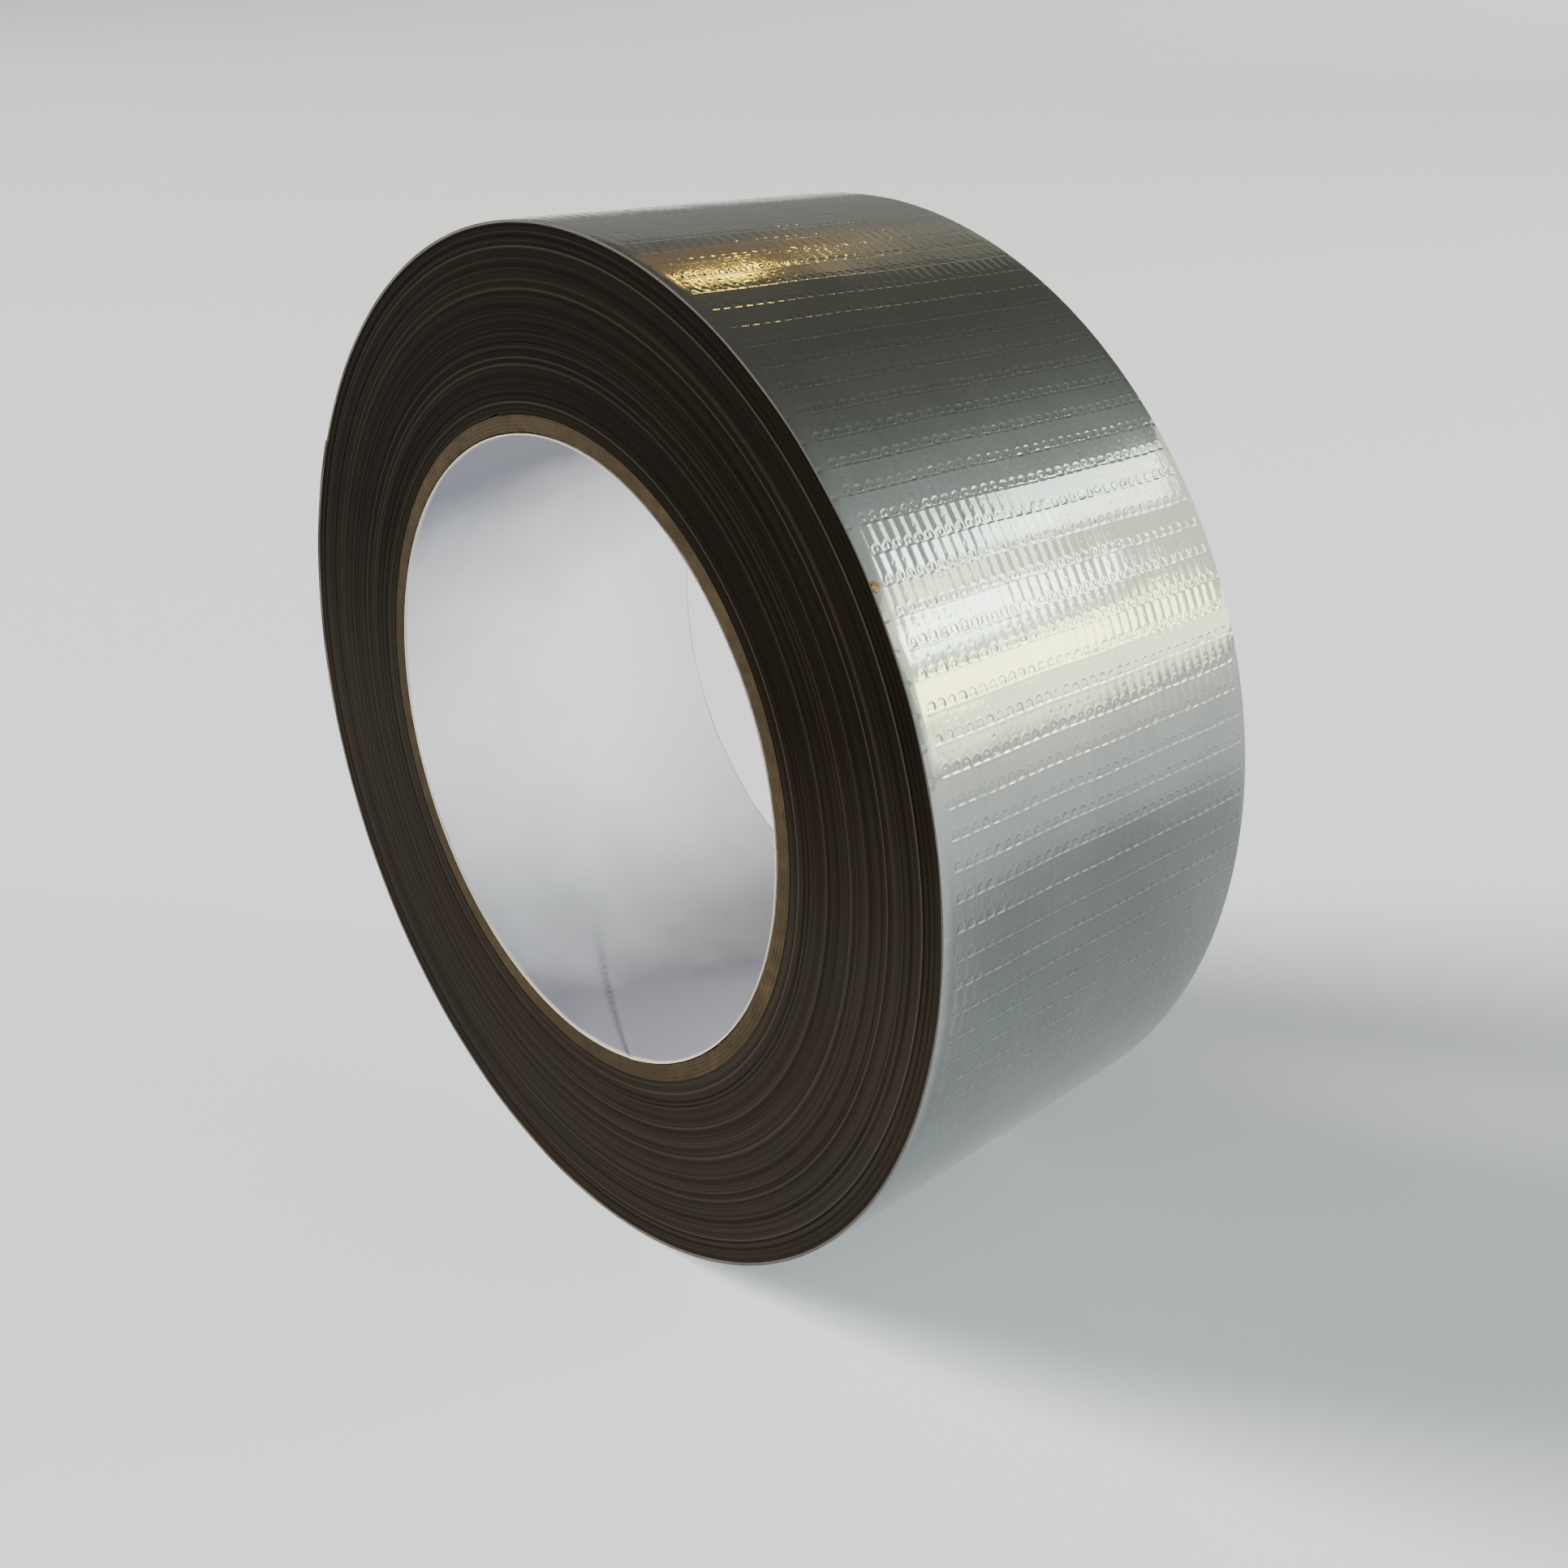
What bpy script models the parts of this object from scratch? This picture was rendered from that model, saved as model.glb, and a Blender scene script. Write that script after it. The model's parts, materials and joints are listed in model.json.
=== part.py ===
"""A roll of cloth-backed duct tape on a spiral-wound paper core.

The frame: the origin is the centre of the bore, +Y runs along the roll's axis, +Z is up, and the
roll stands on its tread.

The tape is one long laminate: adhesive inside, then scrim (a knitted cotton net), then a silver
film. Places along it are counted in facets. Place 0 is the cut where the tape starts on the core.
Each turn adds FACETS, and seen from -Y the tape winds clockwise. Turns that lie below the last one
are a single solid, wound_tape. The last turn is in its three layers, and its free end, the tail,
is cut into short flat lengths that are hinged to each other, so that it can be peeled off the roll.
"""

import bmesh
import bpy
from math import ceil, cos, floor, pi, radians, sin
from mathutils import Matrix, Vector

# ---------------------------------------------------------------- driving dimensions, in metres
MM = 0.001
BORE_RADIUS = 38.0 * MM
CORE_RADIUS = 40.5 * MM
ROLL_RADIUS = 62.5 * MM
TAPE_WIDTH = 48.0 * MM
CORE_LENGTH = 47.4 * MM

# The wound tape
FACETS = 60
START_ANGLE = 105.0
TURNS = 85
TAIL_FACETS = 6
TAIL_TIP_SHORT = 8
CORE_CLEARANCE = 0.02 * MM

# The laminate: what is left of the turn's pitch is shared between the gaps of its layers
ADHESIVE_THICKNESS = 0.10 * MM
SCRIM_THICKNESS = 0.05 * MM
FILM_THICKNESS = 0.08 * MM
HINGE_GAP = 0.06 * MM

# The core: a thin white liner inside kraft plies, each a strip wound on a slant, edge to edge
LINER_THICKNESS = 0.20 * MM
KRAFT_PLIES = 5
PLY_GAP = 0.04 * MM
SEAM_OPENING = 0.40 * MM
SEAM_LEAD = 120.0 * MM
LINER_SEAM_PLACE = 30.0
SEAM_STAGGER = 21.0

# ---------------------------------------------------------------- sizes that follow from them
FACET_ANGLE = 360.0 / FACETS
END_PLACE = TURNS * FACETS - TAIL_TIP_SHORT
PITCH = (ROLL_RADIUS - CORE_RADIUS - CORE_CLEARANCE) * FACETS / END_PLACE
LAYERS_THICKNESS = ADHESIVE_THICKNESS + SCRIM_THICKNESS + FILM_THICKNESS
LAYER_GAP = (PITCH - LAYERS_THICKNESS) / 3
TAIL_PLACE = END_PLACE - TAIL_FACETS
KRAFT_THICKNESS = (CORE_RADIUS - BORE_RADIUS - LINER_THICKNESS) / KRAFT_PLIES - PLY_GAP


# ---------------------------------------------------------------- materials
def make_material(name, colour, roughness, metallic=0.0):
    """A Principled material of one colour."""
    material = bpy.data.materials.new(name)
    material.use_nodes = True
    shader = material.node_tree.nodes["Principled BSDF"]
    shader.inputs["Base Color"].default_value = (*colour, 1.0)
    shader.inputs["Roughness"].default_value = roughness
    shader.inputs["Metallic"].default_value = metallic
    material.diffuse_color = (*colour, 1.0)
    return material


def make_materials():
    return {
        "film": make_material("silver_film", (0.36, 0.38, 0.40), 0.32, 0.65),
        "scrim": make_material("cotton_scrim", (0.62, 0.60, 0.54), 0.90),
        "adhesive": make_material("rubber_adhesive", (0.34, 0.30, 0.24), 0.45),
        "edge": make_material("tape_edge", (0.030, 0.026, 0.020), 0.50),
        "kraft": make_material("kraft_board", (0.075, 0.050, 0.028), 0.85),
        "liner": make_material("liner_paper", (0.80, 0.81, 0.82), 0.70),
    }


# ---------------------------------------------------------------- places on the faceted roll
def corner(place, radius):
    """Where a whole place is on the roll, in the XZ plane."""
    angle = radians(START_ANGLE - place * FACET_ANGLE)
    return Vector((radius * cos(angle), 0.0, radius * sin(angle)))


def on_roll(place, radius_at):
    """Any place on the roll: between two corners it lies on the straight facet that joins them."""
    before = floor(place + 1e-6)
    share = max(place - before, 0.0)
    first = corner(before, radius_at(before))
    return first.lerp(corner(before + 1, radius_at(before + 1)), share)


def tape_top(place):
    """The radius of the tape's outer face: the last turns are an even spiral."""
    return ROLL_RADIUS - PITCH * (END_PLACE - place) / FACETS


def facets_for(length, radius):
    """How many facets a short length takes up along the roll."""
    return length * FACETS / (2 * pi * radius)


# ---------------------------------------------------------------- shapes
def add_object(name, mesh, material, collection, parent=None):
    """Put a mesh that is in the roll's coordinates under its parent, without moving it."""
    part = bpy.data.objects.new(name, mesh)
    mesh.materials.append(material)
    collection.objects.link(part)
    if parent:
        mesh.transform(Matrix.Translation(-hinge_point(parent)))
        part.parent = parent
    return part


def wind_strip(name, places, slant, width, inner_radius_at, thickness):
    """Wind a flat strip onto the roll.

    It starts as one flat face, places[0] to places[1] facets long, whose ends slant by `slant`
    facets across its width. It is scored at each corner of the roll, given its thickness, and
    then each of its points is carried round to its place on the roll.
    """
    first, last = places
    shape = bmesh.new()
    bmesh.ops.create_grid(shape, x_segments=1, y_segments=1, size=0.5)
    for vert in shape.verts:
        vert.co.x = first + (vert.co.x + 0.5) * (last - first) + (vert.co.y + 0.5) * slant
        vert.co.y *= width
    for score in range(floor(first) + 1, ceil(last + slant)):
        everything = shape.verts[:] + shape.edges[:] + shape.faces[:]
        bmesh.ops.bisect_plane(shape, geom=everything, dist=1e-6,
                               plane_co=(score, 0, 0), plane_no=(1, 0, 0))
    raised = bmesh.ops.extrude_face_region(shape, geom=shape.faces[:])
    for item in raised["geom"]:
        if isinstance(item, bmesh.types.BMVert):
            item.co.z = 1.0
    bmesh.ops.recalc_face_normals(shape, faces=shape.faces)
    for vert in shape.verts:
        place, across, layer = vert.co
        point = on_roll(place, lambda at: inner_radius_at(at) + layer * thickness)
        vert.co = (point.x, across, point.z)
    mesh = bpy.data.meshes.new(name)
    shape.to_mesh(mesh)
    shape.free()
    return mesh


def outline_spline(curve, points):
    """A closed outline of straight runs. The curve's local Y becomes the roll's Z."""
    spline = curve.splines.new("POLY")
    spline.points.add(len(points) - 1)
    for target, point in zip(spline.points, points):
        target.co = (point.x, point.z, 0.0, 1.0)
    spline.use_cyclic_u = True


# ---------------------------------------------------------------- the core
def build_core(collection, materials):
    """The liner and the kraft plies, from the bore outwards, with their seams staggered."""
    slant = CORE_LENGTH / SEAM_LEAD * FACETS
    plies = [("core_liner", LINER_THICKNESS, "liner")]
    plies += [(f"core_ply_{number}", KRAFT_THICKNESS, "kraft") for number in range(1, KRAFT_PLIES + 1)]
    radius = BORE_RADIUS
    for index, (name, thickness, paper) in enumerate(plies):
        seam = LINER_SEAM_PLACE + index * SEAM_STAGGER
        opening = facets_for(SEAM_OPENING, radius)
        mesh = wind_strip(name, (seam + opening, seam + FACETS), slant, CORE_LENGTH,
                          lambda place, at=radius: at, thickness)
        add_object(name, mesh, materials[paper], collection)
        radius += thickness + PLY_GAP


# ---------------------------------------------------------------- the turns below the last one
def build_wound_tape(collection, materials):
    """All the turns but the last, stuck into one ring.

    Its outer outline drops by a pitch where the last turn leaves it, under the tail's tip. Its
    inner outline keeps the small wedge of air where the second turn climbs over the tape's start.
    """
    last_place = END_PLACE - FACETS
    outer = [corner(place, tape_top(place)) for place in range(last_place - FACETS, last_place + 1)]
    inner_radius = CORE_RADIUS + CORE_CLEARANCE
    inner = [corner(place, inner_radius) for place in range(FACETS)]
    inner.append(corner(FACETS, inner_radius + PITCH))
    curve = bpy.data.curves.new("wound_tape", "CURVE")
    curve.dimensions = "2D"
    curve.fill_mode = "BOTH"
    curve.extrude = TAPE_WIDTH / 2
    outline_spline(curve, outer)
    outline_spline(curve, inner)
    curve.materials.append(materials["edge"])
    ring = bpy.data.objects.new("wound_tape", curve)
    ring.rotation_euler = (pi / 2, 0.0, 0.0)
    collection.objects.link(ring)


# ---------------------------------------------------------------- the laminate's layers
def layer_stack():
    """Each layer's name, the depth of its inner face below the tape's outer face, and thickness."""
    film_depth = LAYER_GAP / 2 + FILM_THICKNESS
    scrim_depth = film_depth + LAYER_GAP + SCRIM_THICKNESS
    adhesive_depth = scrim_depth + LAYER_GAP + ADHESIVE_THICKNESS
    return [
        ("film", film_depth, FILM_THICKNESS),
        ("scrim", scrim_depth, SCRIM_THICKNESS),
        ("adhesive", adhesive_depth, ADHESIVE_THICKNESS),
    ]


def build_layers(prefix, first, last, collection, materials, parent=None):
    """One length of tape, from place first to place last, as three strips."""
    trim = facets_for(HINGE_GAP, ROLL_RADIUS) / 2
    for layer, depth, thickness in layer_stack():
        name = f"{prefix}_{layer}"
        mesh = wind_strip(name, (first + trim, last - trim), 0.0, TAPE_WIDTH,
                          lambda place, below=depth: tape_top(place) - below, thickness)
        add_object(name, mesh, materials[layer], collection, parent)


def build_last_turn(collection, materials):
    """The last turn up to the tail. It starts against the step in the ring below."""
    build_layers("last_turn", END_PLACE - FACETS, TAIL_PLACE, collection, materials)


# ---------------------------------------------------------------- the tail and its hinges
def hinge_point(hinge):
    """Where a hinge is on the roll, through the hinges that carry it."""
    point = hinge.location.copy()
    while hinge.parent:
        hinge = hinge.parent
        point += hinge.location
    return point


def build_tail(collection, materials):
    """The tail's flat lengths, each on a hinge in the film's outer face at its inner end."""
    carrier = None
    for number in range(1, TAIL_FACETS + 1):
        place = TAIL_PLACE + number - 1
        hinge = bpy.data.objects.new(f"tail_{number}_hinge", None)
        hinge.empty_display_size = 5 * MM
        hinge.location = corner(place, tape_top(place) - LAYER_GAP / 2)
        collection.objects.link(hinge)
        if carrier:
            hinge.location -= hinge_point(carrier)
            hinge.parent = carrier
        build_layers(f"tail_{number}", place, place + 1, collection, materials, hinge)
        carrier = hinge


# ---------------------------------------------------------------- the whole roll
def main():
    for existing in list(bpy.data.objects):
        bpy.data.objects.remove(existing)
    collection = bpy.data.collections.new("duct_tape_roll")
    bpy.context.scene.collection.children.link(collection)
    materials = make_materials()
    build_core(collection, materials)
    build_wound_tape(collection, materials)
    build_last_turn(collection, materials)
    build_tail(collection, materials)


main()
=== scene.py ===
"""The looks of a duct tape roll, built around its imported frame.

Places on the tape are given as `along`, metres back from the cut end of the tail measured on the
roll's outer face, and `across`, metres from the middle of the tape towards +Y. Angles are measured
in the XZ plane from +X towards +Z, so `along` grows with the angle.
"""

import json
from math import atan2, cos, pi, radians, sin, tau

import bpy
import numpy as np
from mathutils import Matrix, Vector


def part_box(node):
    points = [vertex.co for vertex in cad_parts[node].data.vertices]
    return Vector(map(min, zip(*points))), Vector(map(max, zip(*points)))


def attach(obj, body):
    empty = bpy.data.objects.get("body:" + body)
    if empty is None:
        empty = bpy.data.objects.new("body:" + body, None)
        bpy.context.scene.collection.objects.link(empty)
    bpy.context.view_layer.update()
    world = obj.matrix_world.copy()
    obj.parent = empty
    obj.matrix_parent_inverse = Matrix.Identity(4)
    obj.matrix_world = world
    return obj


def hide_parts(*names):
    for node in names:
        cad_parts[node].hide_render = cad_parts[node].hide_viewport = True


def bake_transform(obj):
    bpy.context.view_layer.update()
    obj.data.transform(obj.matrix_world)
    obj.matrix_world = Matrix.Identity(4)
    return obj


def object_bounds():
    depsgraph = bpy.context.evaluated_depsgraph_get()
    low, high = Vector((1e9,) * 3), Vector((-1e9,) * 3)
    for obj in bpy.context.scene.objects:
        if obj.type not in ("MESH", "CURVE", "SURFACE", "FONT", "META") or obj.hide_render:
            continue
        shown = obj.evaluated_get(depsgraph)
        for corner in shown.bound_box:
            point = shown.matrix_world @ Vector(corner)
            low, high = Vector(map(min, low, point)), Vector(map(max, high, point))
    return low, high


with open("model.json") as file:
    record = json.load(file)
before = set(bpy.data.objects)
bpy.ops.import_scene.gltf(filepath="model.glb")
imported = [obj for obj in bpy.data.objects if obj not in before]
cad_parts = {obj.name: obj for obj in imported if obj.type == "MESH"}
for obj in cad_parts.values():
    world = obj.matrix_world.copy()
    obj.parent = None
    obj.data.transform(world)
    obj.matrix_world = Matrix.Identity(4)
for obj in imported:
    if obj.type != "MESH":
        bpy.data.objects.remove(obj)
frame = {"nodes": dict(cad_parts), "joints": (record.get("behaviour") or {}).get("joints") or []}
cad_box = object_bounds()

# ---------------------------------------------------------------- sizes from the frame
MM = 0.001


def node_radii(node):
    """The least and greatest distance of a CAD node's corners from the roll's axis."""
    corners = np.array([vert.co for vert in frame["nodes"][node].data.vertices])
    distances = np.hypot(corners[:, 0], corners[:, 2])
    return distances.min(), distances.max()


def hinge_angles():
    """The angle at which each of the tail's hinges lies on the roll, from its base to its end."""
    hinges = [joint["pos_m"] for joint in frame["joints"]]
    return [atan2(z, x) % tau for x, _, z in hinges]


HALF_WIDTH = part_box("wound_tape")[1].y
CORE_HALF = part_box("core_ply_1")[1].y
BORE_RADIUS = node_radii("core_liner")[0]
BOARD_RADIUS = node_radii("core_ply_1")[0]
CORE_RADIUS = node_radii("core_ply_5")[1]
ROLL_RADIUS = node_radii("tail_6_film")[1]
FLOOR_HEIGHT = cad_box[0].z
HINGES = hinge_angles()
FACET = HINGES[0] - HINGES[1]
TAIL_BASE = HINGES[0]
TIP_ANGLE = HINGES[-1] - FACET
TAIL_PARTS = len(HINGES)

# ---------------------------------------------------------------- the tape
START_ANGLE = radians(105.0)
WHOLE_TURNS = 85
TURNS = WHOLE_TURNS - (TIP_ANGLE - START_ANGLE) / tau
WOUND_TURNS = TURNS - 1
PITCH = (ROLL_RADIUS - CORE_RADIUS) / TURNS
WOUND_PITCH = (ROLL_RADIUS - CORE_RADIUS) / (TURNS + 1)
FILM_THICKNESS = 0.08 * MM
BACK_DEPTHS = (0.11 * MM, 0.19 * MM)
LAYER_GAP = 0.004 * MM
LAMINATE = PITCH - 0.01 * MM
LAST_TURN_DEPTH = 0.37 * MM
BELOW_TAIL_DEPTH = 0.25 * MM

# The net under the film: a weft yarn in each row, and a chain of loops along each lane
ROW = 3.07 * MM
LANES = 33
LANE = 1.383 * MM
FIRST_LANE = -HALF_WIDTH + 1.61 * MM
EDGE_STRIP = 1.1 * MM
LANE_SAMPLES = 11
NEAR_EDGE_SAMPLES = 11
FAR_EDGE_SAMPLES = 7
ROW_CUT = 2.50 * MM
END_MARGIN = 0.04 * MM
ROW_SAMPLES = np.concatenate([
    [0.0, 0.055, 0.11, 0.17, 0.25, 0.36, 0.48, 0.60, 0.71, 0.80, 0.88, 0.96, 1.06, 1.2],
    [1.45, 1.66, 1.80, 1.93, 2.06, 2.20, 2.44, 2.50, 2.56, 2.76, 2.88, 2.98],
]) * MM

# How deeply the winding presses the film over the net, and how far its edges drop
LOOP_DEPTH = 0.021 * MM
RIM_HEIGHT = 0.012 * MM
KNOT_HEIGHT = 0.016 * MM
DASH_DEPTH = 0.034 * MM
PIT_DEPTH = 0.016 * MM
FLAT_SAG = 0.005 * MM
RIDGE_HEIGHT = 0.005 * MM
GROOVE_DEPTH = 0.0025 * MM
LANE_SWELL = (0.0006 * MM, 0.0070 * MM)
EDGE_DROP = 0.062 * MM
SHOULDER_DROP = 0.012 * MM
NOTCH_DEPTH = 0.02 * MM

random = np.random.default_rng(11)


# ---------------------------------------------------------------- mesh helpers
def make_mesh(name, points, faces, attributes=()):
    """A smooth mesh from arrays. faces is a list of arrays, each with the corners of its faces."""
    mesh = bpy.data.meshes.new(name)
    mesh.vertices.add(len(points))
    mesh.vertices.foreach_set("co", np.asarray(points, np.float32).ravel())
    corners = np.concatenate([np.asarray(group).ravel() for group in faces])
    sizes = np.concatenate([np.full(len(group), np.shape(group)[1]) for group in faces])
    mesh.loops.add(len(corners))
    mesh.loops.foreach_set("vertex_index", corners.astype(np.int32))
    mesh.polygons.add(len(sizes))
    mesh.polygons.foreach_set("loop_start", (np.cumsum(sizes) - sizes).astype(np.int32))
    mesh.update(calc_edges=True)
    mesh.validate()
    for attribute_name, values in attributes:
        attribute = mesh.attributes.new(attribute_name, "FLOAT_VECTOR", "POINT")
        attribute.data.foreach_set("vector", np.asarray(values, np.float32).ravel())
    mesh.shade_smooth()
    mesh.set_sharp_from_angle(angle=radians(50))
    return mesh


def make_piece(name, mesh, material):
    """A visible object with one material, in the roll's own coordinates."""
    piece = bpy.data.objects.new(name, mesh)
    mesh.materials.append(material)
    bpy.context.scene.collection.objects.link(piece)
    return piece


def quads(first, second, third, fourth):
    """Four equal arrays of corners, as a list of four-sided faces."""
    return np.stack([first.ravel(), second.ravel(), third.ravel(), fourth.ravel()], axis=1)


def ring_solid(name, radii, across, material):
    """A closed ring: each row of radii and across is one section's outline at one angle."""
    count, section = radii.shape
    angles = np.linspace(0, tau, count, endpoint=False)[:, None]
    points = np.stack([radii * np.cos(angles), across, radii * np.sin(angles)], axis=2)
    index = np.arange(count * section).reshape(count, section)
    ahead = np.roll(index, -1, axis=0)
    faces = quads(index, np.roll(index, -1, axis=1), np.roll(ahead, -1, axis=1), ahead)
    mesh = make_mesh(name, points.reshape(-1, 3), [faces])
    return make_piece(name, mesh, material)


# ---------------------------------------------------------------- smooth random curves
def wander(values, length, waves=5):
    """A smooth random curve through values, about -1 to 1, whose swings are about `length` long."""
    total = np.zeros_like(values, dtype=float)
    for wave in range(waves):
        rate = tau / length * (0.55 + 0.35 * wave)
        total += np.sin(values * rate + random.uniform(0, tau)) * random.uniform(0.5, 1.0)
    return total / waves


def bump(distance, width):
    """1 at distance 0, falling smoothly to nothing at about twice the width."""
    return np.exp(-(distance / width) ** 2)


def ramp(values, low, high):
    """0 below low, 1 above high, and smooth between."""
    share = np.clip((values - low) / (high - low), 0, 1)
    return share * share * (3 - 2 * share)


# ---------------------------------------------------------------- the film's embossed face
FILM_TURNS = 1.12
ROWS_IN_ALL = int(tau * FILM_TURNS * ROLL_RADIUS / ROW) + 2
LOOP_SHAPES = random.uniform(-1, 1, (ROWS_IN_ALL, LANES, 6))
ROW_STRENGTH = random.uniform(0.75, 1.15, ROWS_IN_ALL)
SWAY_SLOPE = 0.0026
SWAY_WAVES = np.column_stack([
    random.uniform(5.0, 13.0, 9) * MM, random.uniform(0, pi, 9), random.uniform(0, tau, 9),
])


def row_shift(across):
    """How far a row of the net strays from straight across the tape."""
    slant = 0.16 * MM * across / HALF_WIDTH
    return slant + 0.07 * MM * np.sin(across / (7 * MM)) + 0.04 * MM * np.sin(across / (2.6 * MM) + 1)


def sway(along, across):
    """The film's slow unevenness, which bends the reflections in it."""
    total = np.zeros_like(along)
    for length, direction, start in SWAY_WAVES:
        distance = along * sin(direction) + across * cos(direction)
        total += SWAY_SLOPE * length / tau * np.sin(tau * distance / length + start)
    return total


def loop_reach(side, up, shape):
    """How far to the side and up each place lies from the middle of its loop, in loops, and how far
    it is from there in all: 1 on the loop. Some loops lean."""
    middle = (0.53 + 0.04 * shape[..., 1]) * MM
    wide = (0.46 + 0.05 * shape[..., 2]) * MM
    tall = (0.41 + 0.05 * shape[..., 3]) * MM
    lean = 0.25 * shape[..., 4] * (up - middle)
    turned = (side - 0.06 * MM * shape[..., 0] - lean) / wide
    raised = (up - middle) / tall
    square = np.where(raised < 0, 3.2, 2.0)
    return turned, raised, (np.abs(turned) ** square + np.abs(raised) ** square) ** (1 / square)


def loop_relief(side, up, shape):
    """A loop of yarn: the film sinks into its opening, whose lower edge is straight, and rides over
    its rim. Some loops are open on one side, and some have a knot in the middle."""
    turned, raised, reach = loop_reach(side, up, shape)
    sunk = -LOOP_DEPTH * (1 - ramp(reach, 0.78, 1.02)) * (0.85 + 0.3 * shape[..., 5])
    around = 0.60 + 0.6 * shape[..., 5] * turned + 0.4 * shape[..., 4] * raised
    rim = RIM_HEIGHT * bump(reach - 1.15, 0.22) * np.clip(around, 0, 1.3)
    knot = KNOT_HEIGHT * bump(np.hypot(turned, raised - 0.1), 0.45) * ramp(shape[..., 3], -0.3, 0.7)
    return sunk + rim + knot


def net_places(along, across):
    """The net's row and lane at each place, how far up the row and to the side of the lane it lies,
    how much of the net is there, and its distance from the foot of the nearest row of loops."""
    shifted = along + row_shift(across)
    row = np.floor(shifted / ROW).astype(int)
    up = shifted - row * ROW
    row = np.clip(row, 0, ROWS_IN_ALL - 1)
    lane = np.clip(np.floor((across - FIRST_LANE) / LANE).astype(int), 0, LANES - 1)
    side = across - FIRST_LANE - (lane + 0.5) * LANE
    inside = ramp(across - FIRST_LANE, -0.25 * MM, 0.15 * MM)
    inside = inside * ramp(FIRST_LANE + LANES * LANE - across, -0.25 * MM, 0.15 * MM)
    return row, lane, up, side, inside, np.where(up > ROW / 2, up - ROW, up)


def loop_feet(side, foot):
    """1 in the middle of the short dash at the foot of each loop, falling to 0 around it."""
    return bump(foot - 0.09 * MM, 0.10 * MM) * ramp(0.51 * MM - np.abs(side), 0, 0.10 * MM)


def painted_highlights_and_shade(along, across):
    """Painted highlights on the film, at the foot of each loop and on its upper rim: up to 1. Below 0 it
    is painted shade, round the inside of the loop and under its foot."""
    row, lane, up, side, inside, foot = net_places(along, across)
    shape = LOOP_SHAPES[row, lane]
    _, raised, reach = loop_reach(side, up, shape)
    # Painted shade round the inside of each loop, and a painted highlight on its upper rim.
    crease = 0.75 * bump(reach - 0.95, 0.14) * np.clip(0.75 - 0.35 * raised + 0.3 * shape[..., 5], 0, 1)
    rim = 0.40 * bump(reach - 1.14, 0.13) * np.clip(0.35 + 0.6 * raised + 0.3 * shape[..., 4], 0, 1)
    # A painted highlight on the dash at each loop's foot, and painted shade just under that dash.
    pale = loop_feet(side, foot) * (ROW_STRENGTH[row] + 0.3 * shape[..., 5])
    under = 0.25 * loop_feet(side, foot + 0.26 * MM)
    return inside * np.clip(pale + rim - crease - under, -1, 1)


def emboss(along, across):
    """How far the film stands out at each place, pressed over the net by the winding."""
    row, lane, up, side, inside, foot = net_places(along, across)
    shape = LOOP_SHAPES[row, lane]
    strength = ROW_STRENGTH[row]
    edge = HALF_WIDTH - np.abs(across)

    flat = -FLAT_SAG * (1 - (2 * up / ROW - 1) ** 2) * (0.4 + 0.6 * inside)
    ridge = RIDGE_HEIGHT * bump(foot + 0.14 * MM, 0.14 * MM)
    press = -DASH_DEPTH * loop_feet(side, foot) * (0.8 + 0.3 * shape[..., 0])
    pit_distance = np.hypot(side - 0.15 * MM * shape[..., 2], up - (1.90 + 0.1 * shape[..., 3]) * MM)
    pit = -PIT_DEPTH * bump(pit_distance, 0.13 * MM) * ramp(shape[..., 1], -0.7, 0.5)

    swell = np.sin(along / (8.5 * MM) + 1.4 * np.sin(across / (11 * MM)) + 2.96)
    low, high = LANE_SWELL
    lanes = (low + high * ramp(swell, 0.0, 1.0)) * np.cos(tau * side / LANE)
    groove = -GROOVE_DEPTH * bump(LANE / 2 - np.abs(side), 0.08 * MM)

    net = inside * strength * (loop_relief(side, up, shape) + press + pit) + inside * (lanes + groove)
    drop = EDGE_DROP * (1 - np.clip(edge / EDGE_STRIP, 0, 1)) ** 1.6
    drop += SHOULDER_DROP * (1 - ramp(edge, 0.8 * MM, 2.8 * MM))
    notch = NOTCH_DEPTH * bump(foot, 0.22 * MM) * (1 - ramp(edge, 0.2 * MM, 0.9 * MM))
    slow = sway(along, across) * ramp(edge, -1.0 * MM, 2.0 * MM)
    return flat + ridge * (0.4 + 0.6 * inside) + net - drop - notch + slow


def across_samples():
    """Where the film is sampled across its width: closely in the lanes, and down the edges."""
    last_lane = FIRST_LANE + LANES * LANE
    lanes = np.linspace(FIRST_LANE, last_lane, LANES * LANE_SAMPLES + 1)
    near = np.linspace(-HALF_WIDTH, FIRST_LANE, NEAR_EDGE_SAMPLES, endpoint=False)
    far = np.linspace(HALF_WIDTH, last_lane, FAR_EDGE_SAMPLES, endpoint=False)
    return np.concatenate([near, lanes, far[::-1]])


def along_samples(first, last):
    """Where the film is sampled along its length: closely at each row of the net."""
    rows = np.arange(int(first / ROW) - 1, int(last / ROW) + 2)
    places = (rows[:, None] * ROW + ROW_SAMPLES).ravel()
    kept = places[(places > first + END_MARGIN) & (places < last - END_MARGIN)]
    return np.concatenate([[first], kept, [last]])


def tape_top(along):
    """The radius of the tape's outer face, without its embossing."""
    return ROLL_RADIUS - PITCH * along / ROLL_RADIUS / tau


def on_tape(along, across, depth):
    """Points that lie `depth` below the tape's outer face."""
    radius = tape_top(along) - depth
    angle = TIP_ANGLE + along / ROLL_RADIUS
    return np.stack([radius * np.cos(angle), across, radius * np.sin(angle)], axis=-1)


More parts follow.
